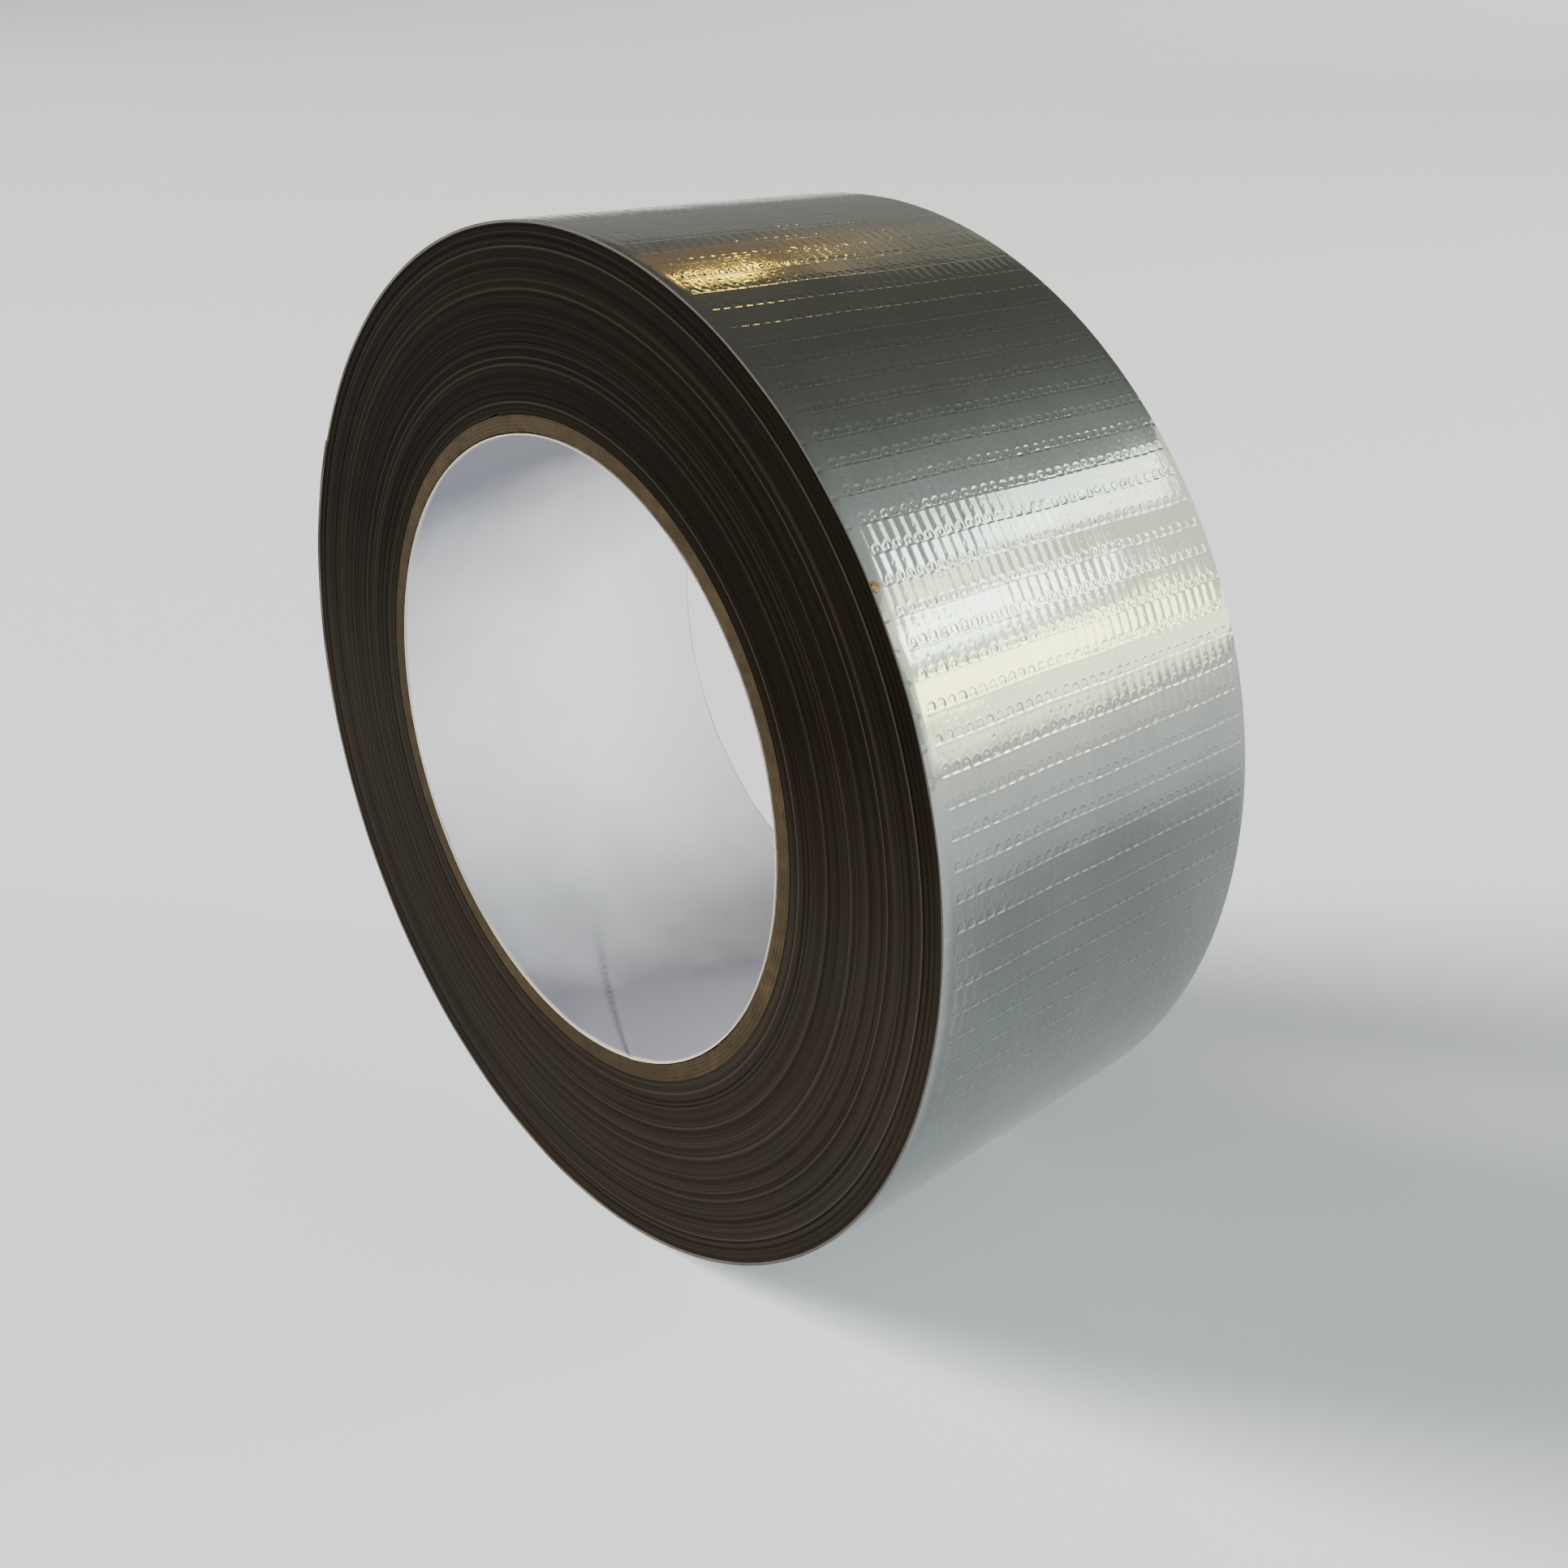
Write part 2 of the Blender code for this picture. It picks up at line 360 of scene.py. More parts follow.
def strip_solid(name, along, across, top_depth, bottom_depth, material, painted_light_marks=0.0):
    """A closed length of one layer of tape: a fine outer face, two edges, two ends and a back. Its
    places on the tape, and the painted highlights and shade on its outer face, are kept for its material."""
    rows, columns = top_depth.shape
    across_grid = np.broadcast_to(across, (rows, columns))
    along_grid = np.broadcast_to(along[:, None], (rows, columns))
    top = on_tape(along_grid, across_grid, top_depth)
    sides = [on_tape(along, across_grid[:, end], bottom_depth[:, end]) for end in (0, -1)]
    points = np.concatenate([top.reshape(-1, 3), *sides])
    places = np.stack([along_grid, across_grid, np.zeros_like(top_depth)], axis=2).reshape(-1, 3)
    side_places = [np.stack([along, across_grid[:, end], np.ones(rows)], 1) for end in (0, -1)]
    index = np.arange(rows * columns).reshape(rows, columns)
    left = rows * columns + np.arange(rows)
    right = left + rows
    faces = [
        quads(index[:-1, :-1], index[:-1, 1:], index[1:, 1:], index[1:, :-1]),
        quads(index[:-1, 0], index[1:, 0], left[1:], left[:-1]),
        quads(index[:-1, -1], right[:-1], right[1:], index[1:, -1]),
        quads(left[:-1], left[1:], right[1:], right[:-1]),
        np.concatenate([index[0, ::-1], left[:1], right[:1]])[None, :],
        np.concatenate([index[-1], right[-1:], left[-1:]])[None, :],
    ]
    painted_light_mark = np.zeros((len(points), 3))
    painted_light_mark[:rows * columns] = (painted_light_marks + np.zeros_like(top_depth)).reshape(-1, 1)
    attributes = [("tape", np.concatenate([places, *side_places])), ("painted_light_mark", painted_light_mark)]
    return make_piece(name, make_mesh(name, points, faces, attributes), material)


def film_back(along):
    """How far below the tape's outer face the back of the film lies, at its two edges."""
    relief = emboss(*np.meshgrid(along, [-HALF_WIDTH, HALF_WIDTH], indexing="ij"))
    return np.clip(FILM_THICKNESS * 0.6 - relief, *BACK_DEPTHS)


def film_strip(name, first, last, materials):
    """A length of the silver film, embossed."""
    along = along_samples(first, last)
    across = across_samples()
    grid = np.meshgrid(along, across, indexing="ij")
    # Painted highlights and shade at the net's loops, kept for the film's colour.
    painted_light_marks = painted_highlights_and_shade(*grid)
    return strip_solid(name, along, across, -emboss(*grid), film_back(along), materials["film"], painted_light_marks)


ADHESIVE_STEP = 0.5 * MM
ADHESIVE_COLUMNS = 9


def adhesive_strip(name, first, last, materials, depth=LAMINATE):
    """The adhesive below a length of film. Its edges are squeezed in a little."""
    along = np.linspace(first, last, max(int((last - first) / ADHESIVE_STEP), 8))
    squeeze = (0.04 + 0.03 * np.sin(along / (2.3 * MM))) * MM
    across = np.linspace(-1, 1, ADHESIVE_COLUMNS)[None, :] * (HALF_WIDTH - squeeze[:, None])
    back = film_back(along) + LAYER_GAP
    share = np.linspace(0, 1, ADHESIVE_COLUMNS)[None, :]
    top = back[:, :1] * (1 - share) + back[:, 1:] * share
    bottom = np.full_like(back, depth)
    return strip_solid(name, along, across, top, bottom, materials["adhesive"])


# ---------------------------------------------------------------- node helpers
class Shader:
    """A Principled material whose nodes are added one after another."""

    def __init__(self, name, colour, roughness, metallic=0.0, specular=0.5):
        self.material = bpy.data.materials.new(name)
        self.material.use_nodes = True
        self.tree = self.material.node_tree
        self.principled = self.tree.nodes["Principled BSDF"]
        self.principled.inputs["Base Color"].default_value = (*colour, 1)
        self.principled.inputs["Roughness"].default_value = roughness
        self.principled.inputs["Metallic"].default_value = metallic
        self.principled.inputs["Specular IOR Level"].default_value = specular

    def add(self, kind, output=0, settings=(), **inputs):
        """Add a node, set or link its inputs by name or number, and return one of its outputs."""
        node = self.tree.nodes.new("ShaderNode" + kind)
        for name, value in dict(settings).items():
            setattr(node, name, value)
        for name, value in inputs.items():
            key = int(name[1:]) if name[1:].isdigit() else name.replace("_", " ")
            if isinstance(value, bpy.types.NodeSocket):
                self.tree.links.new(value, node.inputs[key])
            else:
                node.inputs[key].default_value = value
        return node.outputs[output]

    def math(self, operation, first, second=0.0, third=0.0):
        """One sum, difference, product or the like of up to three values."""
        return self.add("Math", settings={"operation": operation}, i0=first, i1=second, i2=third)

    def mix(self, share, first, second):
        """A mix of two colours."""
        node = self.tree.nodes.new("ShaderNodeMix")
        node.data_type = "RGBA"
        for socket, value in ((node.inputs[0], share), (node.inputs[6], first), (node.inputs[7], second)):
            if isinstance(value, bpy.types.NodeSocket):
                self.tree.links.new(value, socket)
            elif isinstance(value, tuple):
                socket.default_value = (*value, 1)
            else:
                socket.default_value = value
        return node.outputs[2]

    def range(self, value, low, high, to_low=0.0, to_high=1.0):
        """to_low where value is low or less, to_high where it is high or more."""
        return self.add("MapRange", Value=value, From_Min=low, From_Max=high, To_Min=to_low, To_Max=to_high)

    def noise(self, vector, scale, detail=3.0, roughness=0.5, stretch=None):
        """Cloudy noise, mostly 0.3 to 0.7. stretch multiplies the vector's parts first."""
        if stretch:
            vector = self.add("VectorMath", settings={"operation": "MULTIPLY"}, i0=vector, i1=stretch)
        return self.add("TexNoise", Vector=vector, Scale=scale, Detail=detail, Roughness=roughness)

    def position(self):
        """The place on the roll, in metres."""
        return self.add("TexCoord", output=3)

    def attribute(self, name, output=1):
        """A value that the mesh keeps: its vector (output 1) or a single number (output 2)."""
        return self.add("Attribute", output=output, settings={"attribute_name": name})

    def cut_edge(self):
        """1 on faces that look along the roll's axis, where the tape is cut, and 0 elsewhere."""
        normal = self.add("NewGeometry", output=1)
        sideways = self.math("ABSOLUTE", self.add("SeparateXYZ", output=1, Vector=normal))
        return self.range(sideways, 0.75, 0.85)

    def set(self, name, value):
        """Drive one of the material's inputs with a node's output."""
        self.tree.links.new(value, self.principled.inputs[name])

    def relief(self, height, distance, strength=1.0):
        """Bump: height is 0 to 1, over `distance` metres."""
        normal = self.add("Bump", Height=height, Distance=distance, Strength=strength)
        self.set("Normal", normal)


# ---------------------------------------------------------------- materials
# The side of the bore where the liner has painted light; round the rest it has painted shade.
LIT_SIDE_ANGLE = radians(198)


def film_material():
    """Silver film: a sharp but slightly milky reflection with faint streaks, painted highlights at the
    net's loops and painted shade round them, and a dull cut edge."""
    shader = Shader("silver_film", (0.33, 0.34, 0.33), 0.15, metallic=1.0, specular=0.3)
    place = shader.attribute("tape")
    cloud = shader.noise(place, 90.0, 4.0)
    streak = shader.noise(place, 1.0, 3.0, stretch=(60.0, 1400.0, 1.0))
    tone = shader.math("ADD", shader.math("MULTIPLY", cloud, 0.6), shader.math("MULTIPLY", streak, 0.4))
    silver = shader.mix(shader.range(tone, 0.3, 0.7), (0.272, 0.284, 0.279), (0.327, 0.341, 0.340))
    painted_light_mark = shader.attribute("painted_light_mark", output=2)
    # Painted highlight where the value is above 0, and painted shade where it is below.
    highlighted = shader.mix(shader.math("MULTIPLY", painted_light_mark, 0.75), silver, (0.62, 0.64, 0.63))
    highlighted_and_shaded = shader.mix(shader.math("MULTIPLY", painted_light_mark, -0.75), highlighted, (0.11, 0.115, 0.11))
    cut = shader.cut_edge()
    shader.set("Base Color", shader.mix(cut, highlighted_and_shaded, (0.050, 0.046, 0.036)))
    shader.set("Metallic", shader.math("SUBTRACT", 1.0, cut))
    grain = shader.noise(place, 2600.0, 2.0)
    milky = shader.range(cloud, 0.3, 0.7, 0.06, 0.09)
    rough = shader.math("ADD", milky, shader.range(grain, 0.3, 0.8, 0.0, 0.03))
    shader.set("Roughness", shader.math("ADD", rough, shader.math("MULTIPLY", cut, 0.35)))
    skin = shader.noise(place, 1500.0, 4.0, 0.62)
    shader.relief(skin, 0.013 * MM, 0.45)
    return shader.material


def edge_material():
    """The wound edge: dark adhesive between the turns, with lighter rings where the net shows. Its
    upper half has painted shade, darker and browner, and its lower half painted light, lighter and greyer."""
    shader = Shader("tape_edge", (0.007, 0.006, 0.004), 0.6, specular=0.02)
    wound = shader.attribute("wound")
    broad = shader.noise(wound, 1.0, 1.0, 0.5, stretch=(0.15, 0.7, 0.0))
    ring = shader.noise(wound, 1.0, 2.0, 0.6, stretch=(0.42, 0.5, 0.0))
    fine = shader.noise(wound, 1.0, 2.0, 0.6, stretch=(1.6, 1.8, 0.0))
    smear = shader.noise(shader.position(), 38.0, 3.0, 0.5)
    dark = shader.mix(shader.range(smear, 0.42, 0.62), (0.0026, 0.0023, 0.0015), (0.0056, 0.0030, 0.0016))
    grey = shader.mix(shader.range(broad, 0.35, 0.65), dark, (0.0098, 0.0080, 0.0054))
    lined = shader.mix(shader.range(fine, 0.52, 0.72), grey, (0.0150, 0.0130, 0.0100))
    # Painted shade on the upper half, darker and browner, and painted light on the lower half, lighter and
    # greyer.
    level = shader.add("SeparateXYZ", output=2, Vector=shader.position())
    upper_shade = shader.range(shader.math("ADD", level, shader.math("MULTIPLY", smear, 20 * MM)), 0.0, 30 * MM)
    shade_tint = shader.mix(upper_shade, (1.28, 1.28, 1.30), (0.44, 0.37, 0.24))
    shade_tinted = shader.add("VectorMath", settings={"operation": "MULTIPLY"}, i0=lined, i1=shade_tint)
    ringed = shader.mix(shader.range(ring, 0.54, 0.68), shade_tinted, (0.0225, 0.0190, 0.0142))
    shader.set("Base Color", ringed)
    shader.set("Roughness", shader.range(fine, 0.3, 0.7, 0.5, 0.7))
    grit = shader.noise(shader.position(), 2200.0, 3.0, 0.6)
    shader.relief(grit, 0.03 * MM, 0.6)
    return shader.material


def kraft_material():
    """Brown core board: a fibrous cut edge with darker lines between its plies."""
    shader = Shader("kraft_board", (0.035, 0.024, 0.011), 0.9, specular=0.12)
    place = shader.position()
    fibre = shader.noise(place, 420.0, 5.0, 0.7)
    patch = shader.noise(place, 60.0, 3.0)
    brown = shader.mix(shader.range(patch, 0.3, 0.7), (0.022, 0.0148, 0.0062), (0.042, 0.0285, 0.0125))
    shader.set("Base Color", shader.mix(shader.range(fibre, 0.35, 0.75), brown, (0.014, 0.0092, 0.004)))
    shader.relief(fibre, 0.12 * MM, 0.8)
    return shader.material


def liner_material():
    """White core liner: smooth paper with a faint sheen, painted light on one side of the bore and
    painted shade round the rest and towards its near end, and soiled where it was cut."""
    shader = Shader("liner_paper", (0.76, 0.77, 0.80), 0.45, specular=0.4)
    place = shader.position()
    across = shader.add("SeparateXYZ", output=1, Vector=place)
    to_end = shader.math("SUBTRACT", CORE_HALF, shader.math("ABSOLUTE", across))
    cloud = shader.noise(place, 120.0, 4.0)
    # Painted light on the side of the bore facing this way and towards the far end, painted shade
    # elsewhere.
    towards = (cos(LIT_SIDE_ANGLE) / BORE_RADIUS, 0.010 / MM, sin(LIT_SIDE_ANGLE) / BORE_RADIUS)
    facing = shader.add("VectorMath", output=1, settings={"operation": "DOT_PRODUCT"}, i0=place, i1=towards)
    uneven = shader.math("ADD", facing, shader.range(cloud, 0.3, 0.7, -0.04, 0.04))
    white = shader.mix(shader.range(uneven, 0.28, 1.0), (0.16, 0.16, 0.195), (0.92, 0.93, 0.975))
    ragged = shader.math("ADD", to_end, shader.range(cloud, 0.3, 0.7, -0.12 * MM, 0.12 * MM))
    shader.set("Base Color", shader.mix(shader.range(ragged, 0.0, 0.22 * MM), (0.42, 0.36, 0.29), white))
    grain = shader.noise(place, 900.0, 4.0, 0.6)
    shader.relief(grain, 0.02 * MM, 0.35)
    return shader.material


def adhesive_material():
    """Rubber adhesive: a tacky grey-brown with a wet shine."""
    shader = Shader("rubber_adhesive", (0.20, 0.16, 0.11), 0.35, specular=0.5)
    place = shader.attribute("tape")
    cloud = shader.noise(place, 160.0, 4.0)
    tacky = shader.mix(shader.range(cloud, 0.3, 0.7), (0.17, 0.135, 0.09), (0.26, 0.215, 0.15))
    shader.set("Base Color", shader.mix(shader.cut_edge(), tacky, (0.022, 0.015, 0.009)))
    lump = shader.noise(place, 700.0, 3.0)
    shader.set("Roughness", shader.range(lump, 0.3, 0.7, 0.28, 0.5))
    shader.relief(lump, 0.03 * MM, 0.5)
    return shader.material


def bead_material():
    """A bead of adhesive, golden brown and wet."""
    shader = Shader("adhesive_bead", (0.16, 0.085, 0.02), 0.25)
    cloud = shader.noise(shader.position(), 1500.0, 2.0)
    golden = shader.mix(shader.range(cloud, 0.3, 0.7), (0.10, 0.05, 0.012), (0.24, 0.14, 0.035))
    shader.set("Base Color", golden)
    return shader.material


def yarn_material():
    """The net's yarns: off-white, soft, and darkened by the adhesive that soaks them."""
    shader = Shader("cotton_scrim", (0.46, 0.42, 0.34), 0.8, specular=0.3)
    place = shader.attribute("tape")
    twist = shader.noise(place, 3200.0, 2.0)
    soaked = shader.mix(shader.range(twist, 0.3, 0.7), (0.36, 0.32, 0.25), (0.55, 0.51, 0.43))
    shader.set("Base Color", soaked)
    shader.relief(twist, 0.02 * MM, 0.7)
    return shader.material


def floor_material():
    """The pale studio floor, barely uneven."""
    shader = Shader("floor", (0.80, 0.80, 0.80), 0.85, specular=0.2)
    shade = shader.noise(shader.position(), 3.0, 2.0)
    shader.set("Base Color", shader.mix(shade, (0.765, 0.80, 0.845), (0.785, 0.82, 0.865)))
    return shader.material


def make_materials():
    return {
        "film": film_material(),
        "edge": edge_material(),
        "kraft": kraft_material(),
        "liner": liner_material(),
        "adhesive": adhesive_material(),
        "yarn": yarn_material(),
        "bead": bead_material(),
    }


# ---------------------------------------------------------------- the wound turns
TURN_SAMPLES = 240
GROOVE_SHARE = 0.65
CLIMB_LENGTH = 2.4 * MM / (tau * CORE_RADIUS)
CLIMB_SPREAD = 0.05


def wound_radius(turn):
    """The inner radius of the tape at each place, counted in turns from its start on the core.

    The first turn lies on the core and climbs over its own cut start in a short step. Each turn
    spreads the step out, until the spiral is even.
    """
    whole = np.floor(turn + 1e-9)
    climb = np.minimum(1.0, CLIMB_LENGTH + CLIMB_SPREAD * whole)
    share = np.clip((turn - whole - (1 - climb)) / climb, 0, 1)
    return CORE_RADIUS + WOUND_PITCH * (whole + share)


def turn_offsets(turn):
    """How far each turn stands in from the roll's side, at its seam and in its groove."""
    offset = 0.050 * wander(turn, 9.0) + 0.035 * wander(turn, 2.1) + 0.018 * wander(turn, 0.55)
    proud = (0.075 + offset) * MM
    sunk = proud + (0.030 + 0.020 * wander(turn, 0.8)) * MM
    return proud, sunk


def build_wound_turns(materials):
    """Every turn below the last one, as one spiral solid with each turn's edge on both sides.

    The sides stand proud where two turns meet, and each turn's edge has a groove between its seams.
    """
    last = int(round(WOUND_TURNS * TURN_SAMPLES))
    turn = np.arange(last + TURN_SAMPLES + 1) / TURN_SAMPLES
    angle = START_ANGLE - tau * turn
    seam_radius = wound_radius(turn)
    seam_radius -= (LAST_TURN_DEPTH - LAMINATE) * ramp(turn, WOUND_TURNS - 0.5, WOUND_TURNS)
    groove_radius = seam_radius[:last + 1] * (1 - GROOVE_SHARE) + seam_radius[TURN_SAMPLES:] * GROOVE_SHARE
    points, places = [], []
    for side in (-1, 1):
        proud, sunk = turn_offsets(turn)
        for radius, inset, count in ((seam_radius, proud, len(turn)), (groove_radius, sunk, last + 1)):
            y = side * (HALF_WIDTH - inset[:count])
            points.append(np.stack([radius * np.cos(angle[:count]), y, radius * np.sin(angle[:count])], 1))
            places.append(np.stack([turn[:count], angle[:count] / tau, radius], 1))
    counts = [len(group) for group in points]
    starts = np.concatenate([[0], np.cumsum(counts)[:-1]])
    front_seam, front_groove, back_seam, back_groove = [np.arange(n) + s for n, s in zip(counts, starts)]
    outer = slice(last, last + TURN_SAMPLES + 1)
    inner = slice(0, TURN_SAMPLES + 1)

    def side_faces(seam, groove):
        lower = quads(seam[:last], seam[1:last + 1], groove[1:], groove[:-1])
        upper = quads(groove[:-1], groove[1:], seam[TURN_SAMPLES + 1:], seam[TURN_SAMPLES:-1])
        return np.concatenate([lower, upper])

    def wall(front, back):
        return quads(front[:-1], front[1:], back[1:], back[:-1])

    def end_wall(place):
        front = np.array([front_seam[place], front_groove[place], front_seam[place + TURN_SAMPLES]])
        back = np.array([back_seam[place], back_groove[place], back_seam[place + TURN_SAMPLES]])
        return wall(front, back)

    faces = [
        side_faces(front_seam, front_groove)[:, ::-1],
        side_faces(back_seam, back_groove),
        wall(front_seam[inner], back_seam[inner]),
        wall(front_seam[outer], back_seam[outer])[:, ::-1],
        end_wall(0)[:, ::-1],
        end_wall(last),
    ]
    mesh = make_mesh("wound_turns", np.concatenate(points), faces, [("wound", np.concatenate(places))])
    wound = make_piece("wound_turns", mesh, materials["edge"])
    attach(wound, "roll")
    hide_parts("wound_tape")


def build_below_tail(materials):
    """The film and adhesive of the turn below the tail, which the tail uncovers when it is peeled."""
    first = tau * ROLL_RADIUS
    last_below = first + (TAIL_BASE - TIP_ANGLE) * ROLL_RADIUS + ROW
    glue = adhesive_strip("glue_below_tail", first, last_below, materials, BELOW_TAIL_DEPTH)
    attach(glue, "roll")
    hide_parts("wound_tape")
    middle = round((first + last_below) / 2 / ROW) * ROW + ROW_CUT
    for number, ends in enumerate(((first, middle), (middle, last_below)), 1):
        exposed = film_strip(f"film_below_tail_{number}", *ends, materials)
        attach(exposed, "roll")
        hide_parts("wound_tape")


# ---------------------------------------------------------------- the last turn
FILM_PARTS = 13
LAST_TURN_GAP = 0.02 * MM


def build_last_turn(materials):
    """The last turn up to the tail: its film in lengths that meet in the flat between two rows."""
    first = (TAIL_BASE - TIP_ANGLE) * ROLL_RADIUS
    last = tau * ROLL_RADIUS - LAST_TURN_GAP
    cuts = np.linspace(first, last, FILM_PARTS + 1)
    cuts[1:-1] = np.round((cuts[1:-1] - ROW_CUT) / ROW) * ROW + ROW_CUT
    for number in range(FILM_PARTS):
        film = film_strip(f"last_turn_film_{number + 1}", cuts[number], cuts[number + 1], materials)
        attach(film, "roll")
        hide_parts("last_turn_film")
    adhesive = adhesive_strip("last_turn_glue", first, last, materials, LAST_TURN_DEPTH)
    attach(adhesive, "roll")
    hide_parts("last_turn_adhesive", "last_turn_scrim")


BEAD_ANGLE = radians(32.6)
BEAD_SIZE = np.array([0.13, 0.34, 0.48])
BEAD_DEPTH = 0.14 * MM
BEAD_INSET = 0.36 * MM


def build_glue_bead(materials):
    """A bead of adhesive squeezed out at the rim, where the last turn's edge was nicked."""
    bpy.ops.mesh.primitive_ico_sphere_add(subdivisions=4, radius=1.0)
    bead = bpy.context.object
    bead.name = "glue_bead"
    corners = np.array([vert.co for vert in bead.data.vertices])
    lumps = 1 + 0.22 * np.sin(corners @ (3.1, 2.3, 4.0)) + 0.12 * np.sin(corners @ (7.0, -5.0, 6.0) + 1)
    corners *= lumps[:, None] * BEAD_SIZE * MM
    out, round_the_rim = corners[:, 0], corners[:, 2]
    radius = ROLL_RADIUS - BEAD_DEPTH + out
    turned = BEAD_ANGLE + round_the_rim / ROLL_RADIUS
    across = -HALF_WIDTH + BEAD_INSET + corners[:, 1]
    points = np.stack([radius * np.cos(turned), across, radius * np.sin(turned)], axis=1)
    bead.data.vertices.foreach_set("co", points.astype(np.float32).ravel())
    bead.data.update()
    bead.data.shade_smooth()
    bead.data.materials.append(materials["bead"])
    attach(bead, "roll")


# ---------------------------------------------------------------- the tail
YARN_SIDES = 5
YARN_DEPTH = LAMINATE - 0.035 * MM
WEFT_RADIUS = 0.16 * MM
WEFT_FLATNESS = 0.45
CHAIN_RADIUS = 0.07 * MM
CHAIN_FLATNESS = 0.8
CHAIN_SWING = 0.10 * MM
CHAIN_STEP = 0.35 * MM
WEFT_INSET = 0.3 * MM
WEFT_MARGIN = 0.1 * MM


def yarn_tube(path, radius, flatness):
    """Points and faces of a yarn along a path of (along, across, depth) rows."""
    count = len(path)
    step = np.gradient(path[:, :2], axis=0)
    step /= np.linalg.norm(step, axis=1)[:, None]
    sideways = np.stack([-step[:, 1], step[:, 0]], axis=1)
    turns = np.arange(YARN_SIDES) / YARN_SIDES * tau
    ring = path[:, None, :] + np.zeros((count, YARN_SIDES, 3))
    ring[..., :2] += sideways[:, None, :] * (radius * np.cos(turns))[None, :, None]
    ring[..., 2] += (radius * flatness * np.sin(turns))[None, :]
    index = np.arange(count * YARN_SIDES).reshape(count, YARN_SIDES)
    around = np.roll(index, -1, axis=1)
    tube = quads(index[:-1], index[1:], around[1:], around[:-1])
    return ring.reshape(-1, 3), tube, index[0], index[-1][::-1]


def net_piece(name, first, last, materials):
    """The net on the underside of a length of tail: wefts across it and chains along it."""
    rows = np.arange(int(np.ceil(first / ROW)), int(last / ROW) + 1)
    across = np.linspace(-HALF_WIDTH + WEFT_INSET, HALF_WIDTH - WEFT_INSET, 2 * LANES)
    paths = []
    for row in rows:
        along = row * ROW - row_shift(across)
        if along.min() > first + WEFT_MARGIN and along.max() < last - WEFT_MARGIN:
            weft = np.stack([along, across, np.full_like(across, YARN_DEPTH)], 1)
            paths.append((weft, WEFT_RADIUS, WEFT_FLATNESS))
    for lane in range(LANES):
        middle = FIRST_LANE + (lane + 0.5) * LANE
        along = np.linspace(first, last, max(int((last - first) / CHAIN_STEP), 8))
        swing = CHAIN_SWING * np.sin(tau * along / ROW + lane)
        chain = np.stack([along, middle + swing, np.full_like(along, YARN_DEPTH)], 1)
        paths.append((chain, CHAIN_RADIUS, CHAIN_FLATNESS))
    points, tubes, caps, offset = [], [], [], 0
    for path, radius, flatness in paths:
        ring, tube, start_cap, end_cap = yarn_tube(path, radius, flatness)
        points.append(ring)
        tubes.append(tube + offset)
        caps.extend([start_cap + offset, end_cap + offset])
        offset += len(ring)
    places = np.concatenate(points)
    surface = on_tape(places[:, 0], places[:, 1], places[:, 2])
    mesh = make_mesh(name, surface, [np.concatenate(tubes), np.array(caps)], [("tape", places)])
    return make_piece(name, mesh, materials["yarn"])


def build_tail(materials):
    """The tail's film, adhesive and net, in lengths that each span one hinge.

    A length runs from the middle of one flat part of the frame to the middle of the next, where
    the following length begins.
    """
    base = (TAIL_BASE - TIP_ANGLE) * ROLL_RADIUS
    part = FACET * ROLL_RADIUS
    for number in range(1, TAIL_PARTS + 1):
        hinge = base - (number - 1) * part
        first = hinge - part / 2 if number < TAIL_PARTS else 0.0
        last = hinge + part / 2 if number > 1 else hinge
        pieces = (
            (film_strip(f"tail_film_{number}", first, last, materials), "silver_film", "film"),
            (adhesive_strip(f"tail_glue_{number}", first, last, materials), "rubber_adhesive", "adhesive"),
            (net_piece(f"tail_net_{number}", first, last, materials), "cotton_scrim", "scrim"),
        )
        for piece, slot, layer in pieces:
            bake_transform(piece)
            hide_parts(f"tail_{number}_{layer}")


# ---------------------------------------------------------------- the core
KRAFT_PLIES = 5
CORE_SAMPLES = 900
CORE_END = HALF_WIDTH - 0.16 * MM
EDGE_ROUNDING = 0.35 * MM
# Each ply's cut end: the share of the ply's thickness, and how far it is sunk in mm
PLY_OUTLINE = ((0.04, 0.04), (0.20, 0.0), (0.50, 0.0), (0.80, 0.0), (0.96, 0.04))
RAGGED_DEPTH = 0.03 * MM
BURR_LENGTH = 0.07 * MM
BURR_DEPTH = 0.10 * MM
BURR_REACH = 0.5 * MM


def build_core_board(materials):
    """The kraft plies: a ring whose cut ends show each ply, with a rounded, ragged inner edge."""
    angles = np.linspace(0, tau, CORE_SAMPLES, endpoint=False)
    ply = (CORE_RADIUS - BOARD_RADIUS) / KRAFT_PLIES
    radii, insets = [], []
    for number in range(KRAFT_PLIES):
        for share, depth in PLY_OUTLINE:
            radii.append(BOARD_RADIUS + ply * (number + share))
            insets.append(depth * MM)
    radii, insets = np.array(radii), np.array(insets)
    rounding = np.clip((radii - BOARD_RADIUS) / EDGE_ROUNDING, 0, 1)
    insets = insets + EDGE_ROUNDING * (1 - np.sqrt(1 - (1 - rounding) ** 2))
    ends = []
    for side in (-1, 1):
        ragged = np.stack([wander(angles, 0.03 + 0.01 * point, 8) for point in range(len(radii))], axis=1)
        burr = (wander(angles, 0.025, 8) + wander(angles, 0.11))[:, None]
        inner = np.exp(-(radii - BOARD_RADIUS) / BURR_REACH)
        radial = radii + BURR_LENGTH * (1 + burr) * inner
        sunk = RAGGED_DEPTH * (1 + ragged) + BURR_DEPTH * inner * (1 + burr)
        across = side * (CORE_END - insets - sunk)
        ends.append((radial, across + np.zeros_like(ragged)))
    front, back = ends
    section_radii = np.concatenate([front[0], back[0][:, ::-1]], axis=1)
    section_across = np.concatenate([front[1], back[1][:, ::-1]], axis=1)
    board = ring_solid("core_board", section_radii[:, ::-1], section_across[:, ::-1], materials["kraft"])
    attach(board, "roll")
    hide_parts(*[f"core_ply_{number}" for number in range(1, KRAFT_PLIES + 1)])


